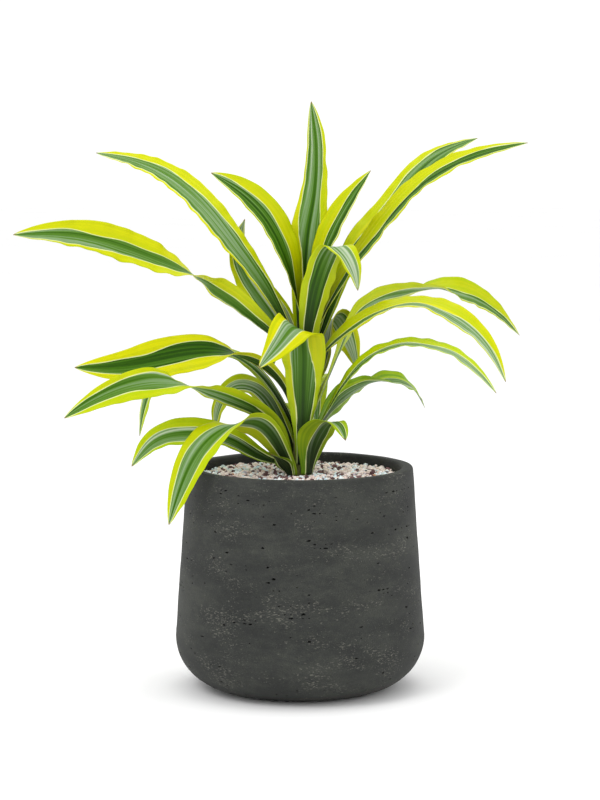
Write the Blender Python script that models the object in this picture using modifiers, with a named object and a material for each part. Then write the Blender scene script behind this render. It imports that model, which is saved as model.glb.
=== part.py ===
"""Potted dracaena: a variegated strap-leaved plant on a short cane, in a round cement planter.

Every leaf, the cane, the granulate, the potting soil and the planter are separate closed solids.
Metres, +Z up. The origin is the centre of the planter's base, on the surface it stands on.
Azimuths turn about +Z from +X: 0 is +X, 90 is +Y, 270 is -Y, the plant's front.
"""
from collections import namedtuple
from math import cos, pi, radians, sin

import bpy
import numpy as np

MM = 0.001
GAP = 0.3 * MM                  # between pieces that touch

# Planter
POT_HEIGHT = 0.205
RIM_RADIUS = 0.104              # outside, at the rim
BELLY_RADIUS = 0.115            # outside, where the wall is widest
BELLY_HEIGHT = 0.048
BASE_RADIUS = 0.066             # flat face it stands on
WALL = 0.011
FLOOR = 0.014
RIM_ROUND = 0.003
TURN_STEPS = 64

# Fill
GRANULATE_TOP = POT_HEIGHT - 0.008
GRANULATE_DEPTH = 0.025

# Cane
CANE_FOOT_RADIUS = 0.0085
CANE_TOP_RADIUS = 0.0045
CANE_HEIGHT = 0.142             # above the granulate
CANE_BURIED = 0.060
CANE_LEAN = 0.03                # sideways travel per height, towards +X

# Leaves
LEAF_THICKNESS = 0.8 * MM
TIP_WIDTH = 1.2 * MM
ALONG_STEP = 0.012              # length of one mesh row
ACROSS = 4                      # mesh columns
WRAP = 46                       # half angle of the gutter where a leaf clasps the cane, degrees
CUP = 14                        # half angle of the shallow gutter along the blade
WRAP_END = 0.22                 # share of the length where the clasping part has opened out

# One row for each leaf. Heights and reaches are mm, measured from the granulate and the cane's axis:
# insert  height at which the leaf leaves the cane
# turn    azimuth of the blade at even stations from foot to tip, degrees
# path    (reach, height) points that the midrib passes after its foot
# roll    turn of the blade about its midrib at even stations, degrees
# width   greatest width; widest is the share of the length where it is reached
# base    width at the foot as a share of width; blunt grows as the tip gets less pointed
# slope   reach gained per height at the foot; out is the foot's distance from the cane, mm
Leaf = namedtuple(
    "Leaf", "name insert turn path roll width widest base blunt slope out",
    defaults=(0.5, 0.44, 2.0, 0.12, 0))

BASAL_LEAVES = [
    Leaf("leaf_basal_right_front", 0.9, (310, 310), ((15, 24), (25, 43), (40, 52), (54, 48), (62, 37)),
         (0, -10, -15, -5, 0), 33, widest=0.42, out=3),
    Leaf("leaf_basal_left_front", 0.9, (224, 217, 214),
         ((22, 18), (52, 49), (80, 51), (108, 36), (127, 5), (140, -35)),
         (0, 45, 42, -8, -32, -35, -30), 34, out=4),
    Leaf("leaf_basal_left", 0.9, (158, 172, 172), ((30, 12), (62, 30), (100, 38), (136, 30), (158, 4)),
         (0, -35, -45, -55, -60, -55), 27, widest=0.6, out=3),
    Leaf("leaf_basal_short", 0.9, (236, 222), ((22, 9), (30, 17), (38, 22)),
         (0, 10, 0, 0), 19, widest=0.45, out=8),
    Leaf("leaf_basal_back", 4, (112, 116), ((18, 28), (34, 46), (58, 54), (84, 46), (102, 24)),
         (0, -10, -15, -10), 28, slope=0.4),
]

LOWER_LEAVES = [
    Leaf("leaf_front_fold", 10, (272, 271, 270, 268, 250, 226),
         ((14, 40), (17, 80), (22, 112), (28, 136), (39, 138), (49, 124), (58, 102)),
         (0, 0, -5, -20, -30, -20), 43, widest=0.68, base=0.2, blunt=1.3),
    Leaf("leaf_lower_left_long", 14, (186, 202, 210, 212),
         ((23, 44), (56, 67), (100, 83), (144, 92), (194, 87), (244, 67)),
         (0, 42, 40, 0, -60, -65, -55), 30, widest=0.55, slope=0.5),
    Leaf("leaf_lower_left_back", 20, (152, 152), ((25, 50), (50, 76), (72, 77), (88, 57), (91, 36)),
         (0, -15, -20, -60, -85), 28, slope=0.3),
    Leaf("leaf_lower_right", 17, (40, 26, 30), ((24, 48), (46, 72), (80, 83), (110, 79), (134, 54)),
         (0, -45, -60, -35, 18, 26, 22), 32, widest=0.42, blunt=3.0, slope=0.6),
    Leaf("leaf_lower_right_thin", 26, (334, 336, 328, 324),
         ((22, 52), (47, 94), (76, 117), (118, 126), (168, 116), (208, 88)),
         (0, 26, 34, 22, 14, 16, 18), 22, widest=0.42, slope=0.3),
    Leaf("leaf_lower_back", 24, (84, 84), ((16, 48), (32, 70), (60, 84), (96, 82), (128, 60), (148, 26)),
         (0, 10, 10, 5), 29),
    Leaf("leaf_hanging_left", 36, (165, 165),
         ((19, 62), (50, 98), (84, 112), (116, 106), (144, 78), (156, 30)),
         (0, -15, -10, -25, -45, -45), 24, widest=0.6),
]

MIDDLE_LEAVES = [
    Leaf("leaf_middle_left_blade", 46, (186, 186, 187),
         ((13, 70), (30, 96), (67, 112), (115, 111), (165, 102), (209, 101)),
         (0, 22, 20, -50, -75, -75, -60), 36, widest=0.6),
    Leaf("leaf_middle_right_arch", 42, (22, 24, 34, 38),
         ((15, 64), (36, 113), (60, 150), (98, 161), (156, 166), (214, 151), (268, 114)),
         (0, -22, -46, -54, -8, 60, 72, 62), 31, widest=0.45),
    Leaf("leaf_middle_right_low_arch", 74, (338, 342, 336, 332),
         ((14, 102), (37, 131), (68, 151), (108, 161), (152, 149), (184, 124), (202, 95)),
         (0, 24, 36, 22, 18, 42, 40, 30), 26, widest=0.42),
    Leaf("leaf_middle_right_back", 66, (38, 50),
         ((22, 102), (29, 130), (38, 142), (50, 133), (65, 114), (79, 92)),
         (0, 0, -25, -40, -40), 30, widest=0.45),
    Leaf("leaf_middle_back", 58, (136, 104, 100),
         ((13, 85), (28, 112), (56, 132), (96, 136), (138, 118), (168, 82)),
         (0, -10, -10, -5), 28, slope=0.2),
]

UPPER_LEAVES = [
    Leaf("leaf_upper_left_back", 81, (120, 140, 146),
         ((17, 108), (35, 140), (56, 165), (74, 190), (79, 208), (70, 233)),
         (0, -20, -30, -30, 0), 32, widest=0.42, base=0.36, slope=0.25),
    Leaf("leaf_upper_left_twist", 89, (186, 190, 198, 202),
         ((14, 113), (33, 135), (63, 161), (107, 186), (166, 211), (222, 225), (277, 225)),
         (0, 42, 52, -32, -65, -68, -62), 32, widest=0.62, base=0.36),
    Leaf("leaf_upper_right_first", 92, (32, 36, 42, 44),
         ((14, 118), (33, 166), (59, 211), (98, 241), (148, 281), (226, 306)),
         (0, 20, 30, 38, 30, 25), 25, widest=0.55),
    Leaf("leaf_upper_front_fold", 98, (290, 290, 297, 308, 318),
         ((12, 120), (17, 145), (25, 173), (34, 198), (44, 211), (55, 204), (63, 172)),
         (0, 5, 5, 5, 0, 0), 35, widest=0.62, base=0.36, blunt=1.6),
    Leaf("leaf_upper_back", 99, (108, 88, 86),
         ((14, 130), (27, 165), (50, 198), (88, 222), (138, 222), (190, 196)),
         (0, 0, 0, 0), 27, base=0.36, slope=0.2),
    Leaf("leaf_upper_left_long", 106, (168, 160, 149, 144),
         ((15, 130), (38, 170), (68, 207), (106, 244), (166, 277), (254, 292)),
         (0, -25, -38, -38, -38, -40), 27),
    Leaf("leaf_upper_right_second", 108, (-6, 2, -6, -10),
         ((12, 132), (30, 175), (58, 217), (96, 263), (144, 291), (198, 304)),
         (0, 25, 32, 35, 38, 40), 26, widest=0.55),
]

CROWN_LEAVES = [
    Leaf("leaf_crown_right_back", 114, (84, 62), ((14, 145), (22, 175), (32, 203), (46, 226), (62, 243)),
         (0, 0, 0, 0), 22, widest=0.45, base=0.36),
    Leaf("leaf_crown_left_arch", 120, (226, 200, 196),
         ((9, 155), (18, 201), (36, 237), (60, 260), (92, 277)),
         (0, -45, -62, -65, -55), 31, base=0.36, blunt=2.6),
    Leaf("leaf_crown_right", 126, (330, 340, 340), ((8, 160), (14, 202), (30, 240), (59, 279)),
         (0, 35, 50, 58, 50), 30, base=0.36),
    Leaf("leaf_crown_centre", 134, (96, 96, 86, 64, 66, 90),
         ((8, 165), (10, 206), (14, 260), (17, 310), (18, 341)),
         (0, 0, -10, -15, 0), 33, widest=0.42, base=0.36),
]

LEAVES = BASAL_LEAVES + LOWER_LEAVES + MIDDLE_LEAVES + UPPER_LEAVES + CROWN_LEAVES


def clear_scene():
    """Remove every object of the start-up scene."""
    for thing in list(bpy.data.objects):
        bpy.data.objects.remove(thing, do_unlink=True)


def make_material(name, colour, roughness):
    """Plain Principled material; colour is linear RGB."""
    material = bpy.data.materials.new(name)
    material.use_nodes = True
    shader = material.node_tree.nodes["Principled BSDF"]
    shader.inputs["Base Color"].default_value = (*colour, 1)
    shader.inputs["Roughness"].default_value = roughness
    shader.inputs["Metallic"].default_value = 0
    material.diffuse_color = (*colour, 1)
    return material


def add_object(name, mesh, material, collection):
    """Link a smooth-shaded object that carries one material."""
    thing = bpy.data.objects.new(name, mesh)
    mesh.materials.append(material)
    mesh.shade_smooth()
    collection.objects.link(thing)
    return thing


def turned(name, profile, material, collection, closed=False):
    """Turn a profile of (radius, height) points about Z; it runs down the outer side."""
    points = [(radius, 0, height) for radius, height in profile]
    edges = [(i, i + 1) for i in range(len(points) - 1)]
    if closed:
        edges.append((len(points) - 1, 0))
    mesh = bpy.data.meshes.new(name)
    mesh.from_pydata(points, edges, [])
    thing = add_object(name, mesh, material, collection)
    screw = thing.modifiers.new("turn", "SCREW")
    screw.steps = TURN_STEPS
    screw.render_steps = TURN_STEPS
    screw.use_merge_vertices = True
    screw.merge_threshold = 0.00001
    return thing


def arc(centre, radii, start, end, count):
    """Points of an elliptical arc in the (radius, height) plane, angles in degrees."""
    turns = np.radians(np.linspace(start, end, count))
    return [(centre[0] + radii[0] * cos(a), centre[1] + radii[1] * sin(a)) for a in turns]


def inner_radius(height):
    """Radius of the planter's inside at a height above the belly."""
    share = (height - BELLY_HEIGHT) / (POT_HEIGHT - RIM_ROUND - BELLY_HEIGHT)
    return BELLY_RADIUS + (RIM_RADIUS - BELLY_RADIUS) * share - WALL


def make_planter(material, collection):
    """Round planter: narrow rim, belly low down, rounded foot, one wall thickness all the way."""
    foot = (BELLY_RADIUS - BASE_RADIUS, BELLY_HEIGHT)
    inside_foot = (foot[0], BELLY_HEIGHT - FLOOR)
    rim = POT_HEIGHT - RIM_ROUND
    profile = [(0, FLOOR)]
    profile += arc((BASE_RADIUS - WALL, BELLY_HEIGHT), inside_foot, -90, 0, 8)
    profile += arc((RIM_RADIUS - WALL + RIM_ROUND, rim), (RIM_ROUND, RIM_ROUND), 180, 90, 4)
    profile += arc((RIM_RADIUS - RIM_ROUND, rim), (RIM_ROUND, RIM_ROUND), 90, 0, 4)
    profile += arc((BASE_RADIUS, BELLY_HEIGHT), foot, 0, -90, 10)
    profile += [(0, 0)]
    return turned("planter", profile, material, collection)


def make_granulate(material, collection):
    """Bed of mineral granulate: a ring around the cane, as deep as the planter's top stretch."""
    bottom = GRANULATE_TOP - GRANULATE_DEPTH
    hole = CANE_FOOT_RADIUS + GAP
    profile = [
        (hole, GRANULATE_TOP),
        (inner_radius(GRANULATE_TOP) - GAP, GRANULATE_TOP),
        (inner_radius(bottom) - GAP, bottom),
        (hole, bottom),
    ]
    return turned("granulate", profile, material, collection, closed=True)


def make_soil(material, collection):
    """Potting soil under the granulate, with the pocket that the cane's foot stands in."""
    top = GRANULATE_TOP - GRANULATE_DEPTH - GAP
    pocket = CANE_FOOT_RADIUS + GAP
    pocket_floor = GRANULATE_TOP - CANE_BURIED - GAP
    foot = (BELLY_RADIUS - BASE_RADIUS - GAP, BELLY_HEIGHT - FLOOR - GAP)
    profile = [(0, pocket_floor), (pocket, pocket_floor), (pocket, top), (inner_radius(top) - GAP, top)]
    profile += arc((BASE_RADIUS - WALL, BELLY_HEIGHT), foot, 0, -90, 8)
    profile += [(0, FLOOR + GAP)]
    return turned("potting_soil", profile, material, collection)


def cane_radius(height):
    """Radius of the cane at a height above the granulate."""
    share = np.clip(height / CANE_HEIGHT, 0, 1)
    return CANE_FOOT_RADIUS + (CANE_TOP_RADIUS - CANE_FOOT_RADIUS) * share


def make_cane(material, collection):
    """Cane: upright in the soil, leaning a little above it, tapering to the crown."""
    heights = (-CANE_BURIED, 0, *np.linspace(0.02, CANE_HEIGHT, 6))
    sides = 16
    points = []
    for height in heights:
        lean = CANE_LEAN * max(height, 0)
        radius = cane_radius(height)
        for turn in np.arange(sides) * 2 * pi / sides:
            points.append((lean + radius * cos(turn), radius * sin(turn), GRANULATE_TOP + height))
    faces = [tuple(range(sides))[::-1]]
    for row in range(len(heights) - 1):
        for i in range(sides):
            low, high = row * sides, (row + 1) * sides
            after = (i + 1) % sides
            faces.append((low + i, low + after, high + after, high + i))
    faces.append(tuple(range((len(heights) - 1) * sides, len(heights) * sides)))
    mesh = bpy.data.meshes.new("cane")
    mesh.from_pydata(points, [], faces)
    return add_object("cane", mesh, material, collection)


def smooth(share):
    """Ease from 0 to 1."""
    share = np.clip(share, 0, 1)
    return share * share * (3 - 2 * share)


def eased(stations, share):
    """Values given at even stations, joined by a Catmull-Rom curve."""
    values = np.asarray(stations, float)
    values = np.concatenate([[2 * values[0] - values[1]], values, [2 * values[-1] - values[-2]]])
    place = np.asarray(share) * (len(values) - 3)
    i = np.clip(place.astype(int), 0, len(values) - 4)
    f = place - i
    a, b, c, d = values[i], values[i + 1], values[i + 2], values[i + 3]
    return b + 0.5 * f * (c - a + f * (2 * a - 5 * b + 4 * c - d + f * (3 * (b - c) + d - a)))


def cubic(points, start, at):
    """Natural cubic through points, leaving the first along start, at shares of its chord length."""
    points = np.asarray(points, float)
    step = np.linalg.norm(np.diff(points, axis=0), axis=1)
    knots = np.concatenate([[0], np.cumsum(step)])
    last = len(points) - 1
    system = np.eye(last + 1)
    right = np.zeros_like(points)
    rise = np.diff(points, axis=0) / step[:, None]
    system[0, :2] = 2 * step[0], step[0]
    right[0] = 6 * (rise[0] - start)
    for i in range(1, last):
        system[i, i - 1:i + 2] = step[i - 1], 2 * (step[i - 1] + step[i]), step[i]
        right[i] = 6 * (rise[i] - rise[i - 1])
    bend = np.linalg.solve(system, right)
    x = at * knots[-1]
    i = np.clip(np.searchsorted(knots, x, side="right") - 1, 0, last - 1)
    dx, h = (x - knots[i])[:, None], step[i][:, None]
    line = points[i] + dx * ((points[i + 1] - points[i]) / h - h * (2 * bend[i] + bend[i + 1]) / 6)
    return line + dx ** 2 * bend[i] / 2 + dx ** 3 * (bend[i + 1] - bend[i]) / (6 * h)


def reach_and_height(leaf):
    """The midrib in its own upright plane, as a function of the share of its length, and its length."""
    insert = leaf.insert * MM
    foot = (cane_radius(insert) + LEAF_THICKNESS / 2 + 2 * GAP + leaf.out * MM, insert)
    points = [foot] + [(reach * MM, height * MM) for reach, height in leaf.path]
    start = np.array([leaf.slope, 1]) / np.hypot(leaf.slope, 1)
    fine = np.linspace(0, 1, 400)
    dense = cubic(points, start, fine)
    run = np.concatenate([[0], np.cumsum(np.linalg.norm(np.diff(dense, axis=0), axis=1))])
    return lambda share: cubic(points, start, np.interp(share * run[-1], run, fine)), run[-1]


def half_width(leaf, share):
    """Half the blade's width: it grows from the foot to its widest place and tapers to the tip."""
    grow = leaf.base + (1 - leaf.base) * smooth(share / leaf.widest)
    beyond = np.clip((share - leaf.widest) / (1 - leaf.widest), 0, 1)
    taper = (1 - beyond ** leaf.blunt) ** 0.82
    return (leaf.width * MM * grow * taper + TIP_WIDTH) / 2


def blade_grid(leaf):
    """Rows of points from foot to tip, each row an arc across the blade, open towards the cane."""
    midrib, length = reach_and_height(leaf)
    share = np.linspace(0, 1, max(8, round(length / ALONG_STEP)) + 1)
    reach, height = midrib(share).T
    turn = np.radians(eased(leaf.turn, share))
    flat = np.zeros_like(turn)
    centre = np.stack(
        [CANE_LEAN * height + reach * np.cos(turn), reach * np.sin(turn), GRANULATE_TOP + height], 1)
    along = np.gradient(centre, axis=0)
    along /= np.linalg.norm(along, axis=1)[:, None]
    level = np.stack([-np.sin(turn), np.cos(turn), flat], 1)
    level -= (level * along).sum(1)[:, None] * along
    level /= np.linalg.norm(level, axis=1)[:, None]
    upper = np.cross(along, level)
    roll = np.radians(eased(leaf.roll, share))[:, None]
    across = np.cos(roll) * level + np.sin(roll) * upper
    upper = np.cos(roll) * upper - np.sin(roll) * level
    gutter = np.radians(CUP + (WRAP - CUP) * (1 - smooth(share / WRAP_END)))[:, None]
    radius = half_width(leaf, share)[:, None] / gutter
    angle = gutter * np.linspace(-1, 1, ACROSS + 1)
    side = (radius * np.sin(angle))[..., None] * across[:, None]
    lift = (radius * (1 - np.cos(angle)))[..., None] * upper[:, None]
    return centre[:, None] + side + lift


def make_leaf(leaf, material, collection):
    """Leaf blade: an open gutter of quads, thickened evenly to both sides."""
    grid = blade_grid(leaf)
    rows, columns = grid.shape[:2]
    number = np.arange(rows * columns).reshape(rows, columns)
    faces = np.stack([number[:-1, :-1], number[1:, :-1], number[1:, 1:], number[:-1, 1:]], -1)
    mesh = bpy.data.meshes.new(leaf.name)
    mesh.from_pydata(grid.reshape(-1, 3).tolist(), [], faces.reshape(-1, 4).tolist())
    thing = add_object(leaf.name, mesh, material, collection)
    solidify = thing.modifiers.new("thickness", "SOLIDIFY")
    solidify.thickness = LEAF_THICKNESS
    solidify.offset = 0
    return thing


def main():
    clear_scene()
    collection = bpy.data.collections.new("potted_dracaena")
    bpy.context.scene.collection.children.link(collection)
    make_planter(make_material("planter_cement", (0.058, 0.061, 0.058), 0.85), collection)
    make_soil(make_material("soil", (0.030, 0.020, 0.013), 0.95), collection)
    make_granulate(make_material("mineral_granulate", (0.58, 0.49, 0.44), 0.9), collection)
    make_cane(make_material("cane_bark", (0.22, 0.19, 0.09), 0.7), collection)
    leaf_green = make_material("leaf_green", (0.10, 0.26, 0.03), 0.4)
    for leaf in LEAVES:
        make_leaf(leaf, leaf_green, collection)


main()
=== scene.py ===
"""Looks of a potted dracaena: a variegated strap-leaved plant on a short cane, in a round cement planter.

Metres, +Z up. The origin is the centre of the planter's base. Azimuths turn about +Z from +X:
0 is +X, 90 is +Y, 270 is -Y, the plant's front. A leaf's blade, the planter's shell, the cane's stem and
the granulate's bed each stand for one CAD node; the loose grains lie on the bed and stand for none.
"""

from collections import namedtuple

import bpy
import numpy as np
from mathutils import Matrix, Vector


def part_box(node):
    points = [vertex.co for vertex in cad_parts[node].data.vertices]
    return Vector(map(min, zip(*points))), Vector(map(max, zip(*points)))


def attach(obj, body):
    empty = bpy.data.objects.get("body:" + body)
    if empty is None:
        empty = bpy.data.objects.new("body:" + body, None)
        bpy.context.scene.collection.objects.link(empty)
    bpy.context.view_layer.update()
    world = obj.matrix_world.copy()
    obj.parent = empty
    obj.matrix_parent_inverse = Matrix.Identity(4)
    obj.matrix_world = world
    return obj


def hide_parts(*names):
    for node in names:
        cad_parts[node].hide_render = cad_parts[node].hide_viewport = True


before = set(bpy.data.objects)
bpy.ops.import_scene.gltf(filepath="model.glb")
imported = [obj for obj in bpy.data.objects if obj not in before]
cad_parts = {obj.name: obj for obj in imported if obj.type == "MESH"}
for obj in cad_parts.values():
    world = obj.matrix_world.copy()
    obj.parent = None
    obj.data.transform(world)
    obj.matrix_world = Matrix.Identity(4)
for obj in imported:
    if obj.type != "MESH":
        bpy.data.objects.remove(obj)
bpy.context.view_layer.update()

MM = 0.001
GAP = 0.3 * MM                  # left between neighbouring pieces
TAU = 2 * np.pi

# Planter
POT_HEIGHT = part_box("planter")[1].z
RIM_RADIUS = 0.104              # outside, at the rim
BELLY_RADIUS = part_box("planter")[1].x
BELLY_HEIGHT = 0.048
BASE_RADIUS = 0.066
WALL = 0.011
FLOOR = 0.014
RIM_ROUND = 0.003
RIM_POINTS = 8                  # in each quarter of the rim's round edge
POT_COLUMNS = 132               # a cell of the wall is 5 to 5.5 mm wide
PIT_SEED = 11
PIT_DRAWS = 760                 # cells drawn for pits; a cell that is drawn twice has one pit
PIT_CLUSTERS = 70               # places that pits gather around
LOOSE_PITS = 0.35               # share of the pits that lie anywhere
CLUSTER_ROWS, CLUSTER_COLUMNS = 0.8, 1.8    # spread of the pits about such a place, in cells
LOWEST_PIT_ROW = -8             # of the profile, counted from its end
PIT_RADIUS = 0.46               # at most, in cells, before a pit is widened
PIT_HALF_WIDTH = 0.47           # at most, in cells, once it is widened
PIT_DEPTH = 8 * MM              # per cell of a pit's radius, kept between 0.7 mm and 2.6 mm
PIT_POINTS = 8                  # around a pit, two to each corner of its cell

# Fill
GRANULATE_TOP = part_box("granulate")[1].z
GRAIN_PITCH = 4.1 * MM          # between the centres of neighbouring grains
GRAIN_RADIUS = 2.0 * MM         # of a middling grain
GRAIN_DEPTHS = 1.4 * MM, 4.2 * MM   # of the two layers of grains, below the top
GRAIN_SEED = 5
LATTICE_REACH = 30              # rows and columns of grains each way from the cane
LATTICE_ROW = 0.866             # distance between rows, in pitches
BED_ROWS = 60
BED_COLUMNS = 160

# Cane
CANE_FOOT_RADIUS = 0.0085
CANE_TOP_RADIUS = 0.0045
CANE_HEIGHT = 0.142             # above the granulate
CANE_LEAN = 0.03                # sideways travel per height, towards +X
CANE_INSET = 0.7 * MM           # room for the scars and for the creased feet of the leaves
CANE_ROWS = 150
CANE_COLUMNS = 36
SCAR_PITCH = 6 * MM             # between leaf scars

# Leaves
LEAF_THICKNESS = 0.8 * MM
TIP_WIDTH = 1.2 * MM
ROW_STEP = 2.2 * MM             # length of one mesh row
COLUMNS = 24                    # mesh columns across one face of a blade
WRAP = 46                       # half angle of the gutter where a leaf clasps the cane, degrees
CUP = 14                        # half angle of the shallow gutter along the blade
WRAP_END = 0.22                 # share of the length where the clasping part has opened out
CREASE = 0.55 * MM              # depth of the crease along the midrib
PLEAT = 0.14 * MM               # height of the lengthwise pleats
PLEATS = 3.5                    # on each half of the blade
SHADED_LENGTH = 100 * MM        # from the foot, over which painted shade darkens the blades, where the neighbours shut out the light
PATTERN_STEP = 7.3              # between the leaves' own slices of the streak pattern

# Stage
FLOOR_COLUMNS = 64
CAMERA_AWAY = 2.4
CAMERA_HEIGHT = 0.531
CAMERA_DOWN = 6.31              # tilt below level, degrees
FOCAL_LENGTH = 118.4            # mm, for a frame 36 mm along its longer side
LAMPS_AIM = 0.3                 # height that the lamps point at, on the planter's axis

# One row for each leaf. Heights and reaches are mm, measured from the granulate and the cane's axis:
# insert  height at which the leaf leaves the cane
# turn    azimuth of the blade at even stations from foot to tip, degrees
# path    (reach, height) points that the midrib passes after its foot
# roll    turn of the blade about its midrib at even stations, degrees
# width   greatest width; widest is the share of the length where it is reached
# left, right  the lime margins at even stations, in hundredths of the width, as seen from above
#              with the tip pointing away
# tone    from yellow margins at 0 to green ones at 1, the greener, darker end partly painted shade
# core    from a deep green centre at 0 to a greyish one at 1, the greyish end partly painted sheen
#         Both are one number or a tuple of numbers at even stations, and may pass 0 and 1.
# base    width at the foot as a share of width; blunt grows as the tip gets less pointed
# slope   reach gained per height at the foot; out is the foot's distance from the cane, mm
# ripple  height of the waves along the margins, mm
Leaf = namedtuple(
    "Leaf", "name insert turn path roll width left right tone core widest base blunt slope out ripple",
    defaults=(0.5, 0.44, 2.0, 0.12, 0, 1.0))

BASAL_LEAVES = [
    Leaf("leaf_basal_right_front", 0.9, (310, 310), ((15, 24), (25, 43), (40, 52), (54, 48), (62, 37)),
         (0, -10, -15, -5, 0), 33, (20, 20, 22, 25), (28, 36, 36, 28), 0.8, 0.7, widest=0.42, out=3),
    Leaf("leaf_basal_left_front", 0.9, (224, 217, 214),
         ((22, 18), (52, 49), (80, 51), (108, 36), (127, 5), (140, -35)),
         (0, 45, 42, -8, -32, -35, -30), 34, (18, 18, 22, 25, 22), (32, 38, 25, 22, 22), 0.35, 0.6, out=4),
    Leaf("leaf_basal_left", 0.9, (158, 172, 172), ((30, 12), (62, 30), (100, 38), (136, 30), (158, 4)),
         (0, -35, -45, -55, -60, -55), 27, (10, 10, 13, 10), (26, 31, 34, 26), 0.6, 0.75, widest=0.6, out=3),
    Leaf("leaf_basal_short", 0.9, (236, 222), ((22, 9), (30, 17), (38, 22)),
         (0, 10, 0, 0), 19, (14, 17, 19), (14, 19, 19), 0.9, 0.3, widest=0.45, out=8),
    Leaf("leaf_basal_back", 4, (112, 116), ((18, 28), (34, 46), (58, 54), (84, 46), (102, 24)),
         (0, -10, -15, -10), 28, (22, 26, 22), (19, 22, 24), 0.6, 0.5, slope=0.4),
]

LOWER_LEAVES = [
    Leaf("leaf_front_fold", 10, (272, 271, 270, 268, 250, 226),
         ((14, 40), (17, 80), (22, 112), (28, 136), (39, 138), (49, 124), (58, 102)),
         (0, 0, -5, -20, -30, -20), 43, (10, 10, 14, 37, 26, 21), (18, 24, 24, 20, 23, 21),
         (0.5, 0.5, 0.3, 0.1, 0.1), (-0.1, 0.1, 0.5, 1.2, 1.3), widest=0.68, base=0.2, blunt=1.3,
         ripple=1.8),
    Leaf("leaf_lower_left_long", 14, (186, 202, 210, 212),
         ((23, 44), (56, 67), (100, 83), (144, 92), (194, 87), (244, 67)),
         (0, 42, 40, 0, -60, -65, -55), 30, (32, 38, 32, 30, 32, 22), (15, 18, 14, 15, 20, 18), 0.4,
         (0.3, 0.5, 0.5, 0.2, 0.3), widest=0.55, slope=0.5),
    Leaf("leaf_lower_left_back", 20, (152, 152), ((25, 50), (50, 76), (72, 77), (88, 57), (91, 36)),
         (0, -15, -20, -60, -85), 28, (23, 26, 31), (18, 21, 26), 0.3, 1.0, slope=0.3),
    Leaf("leaf_lower_right", 17, (40, 26, 30), ((24, 48), (46, 72), (80, 83), (110, 79), (134, 54)),
         (0, -45, -60, -35, 18, 26, 22), 32, (27, 31, 31, 44, 34), (27, 31, 27, 10, 10), 0.85, 0.75,
         widest=0.42, blunt=3.0, slope=0.6, ripple=1.4),
    Leaf("leaf_lower_right_thin", 26, (334, 336, 328, 324),
         ((22, 52), (47, 94), (76, 117), (118, 126), (168, 116), (208, 88)),
         (0, 26, 34, 22, 14, 16, 18), 22, (30, 39, 45, 42, 30), (12, 15, 12, 9, 9), 0.6, 0.75,
         widest=0.42, slope=0.3),
    Leaf("leaf_lower_back", 24, (84, 84), ((16, 48), (32, 70), (60, 84), (96, 82), (128, 60), (148, 26)),
         (0, 10, 10, 5), 29, (17, 22, 19), (26, 31, 24), 0.6, 0.5),
    Leaf("leaf_hanging_left", 36, (165, 165),
         ((19, 62), (50, 98), (84, 112), (116, 106), (144, 78), (156, 30)),
         (0, -15, -10, -25, -45, -45), 24, (29, 36, 41, 36), (10, 12, 12, 10), 0.6, 0.6, widest=0.6),
]

MIDDLE_LEAVES = [
    Leaf("leaf_middle_left_blade", 46, (186, 186, 187),
         ((13, 70), (30, 96), (67, 112), (115, 111), (165, 102), (209, 101)),
         (0, 22, 20, -50, -75, -75, -60), 36, (20, 25, 30, 32, 25, 15), (15, 18, 15, 22, 32, 22), -0.1, 0.1,
         widest=0.6),
    Leaf("leaf_middle_right_arch", 42, (22, 24, 34, 38),
         ((15, 64), (36, 113), (60, 150), (98, 161), (156, 166), (214, 151), (268, 114)),
         (0, -22, -46, -54, -8, 60, 72, 62), 31, (36, 41, 46, 50, 55, 53, 41), (29, 31, 34, 24, 7, 10, 10),
         0.35, 0.6, widest=0.45),
    Leaf("leaf_middle_right_low_arch", 74, (338, 342, 336, 332),
         ((14, 102), (37, 131), (68, 151), (108, 161), (152, 149), (184, 124), (202, 95)),
         (0, 24, 36, 22, 18, 42, 40, 30), 26, (36, 43, 53, 55, 48, 36), (17, 19, 22, 12, 7, 7), 0.1, 0.6,
         widest=0.42),
    Leaf("leaf_middle_right_back", 66, (38, 50),
         ((22, 102), (29, 130), (38, 142), (50, 133), (65, 114), (79, 92)),
         (0, 0, -25, -40, -40), 30, (21, 23, 26), (18, 18, 21), 0.15, 0.95, widest=0.45),
    Leaf("leaf_middle_back", 58, (136, 104, 100),
         ((13, 85), (28, 112), (56, 132), (96, 136), (138, 118), (168, 82)),
         (0, -10, -10, -5), 28, (24, 31, 24), (14, 17, 19), 0.4, 0.4, slope=0.2),
]

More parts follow.
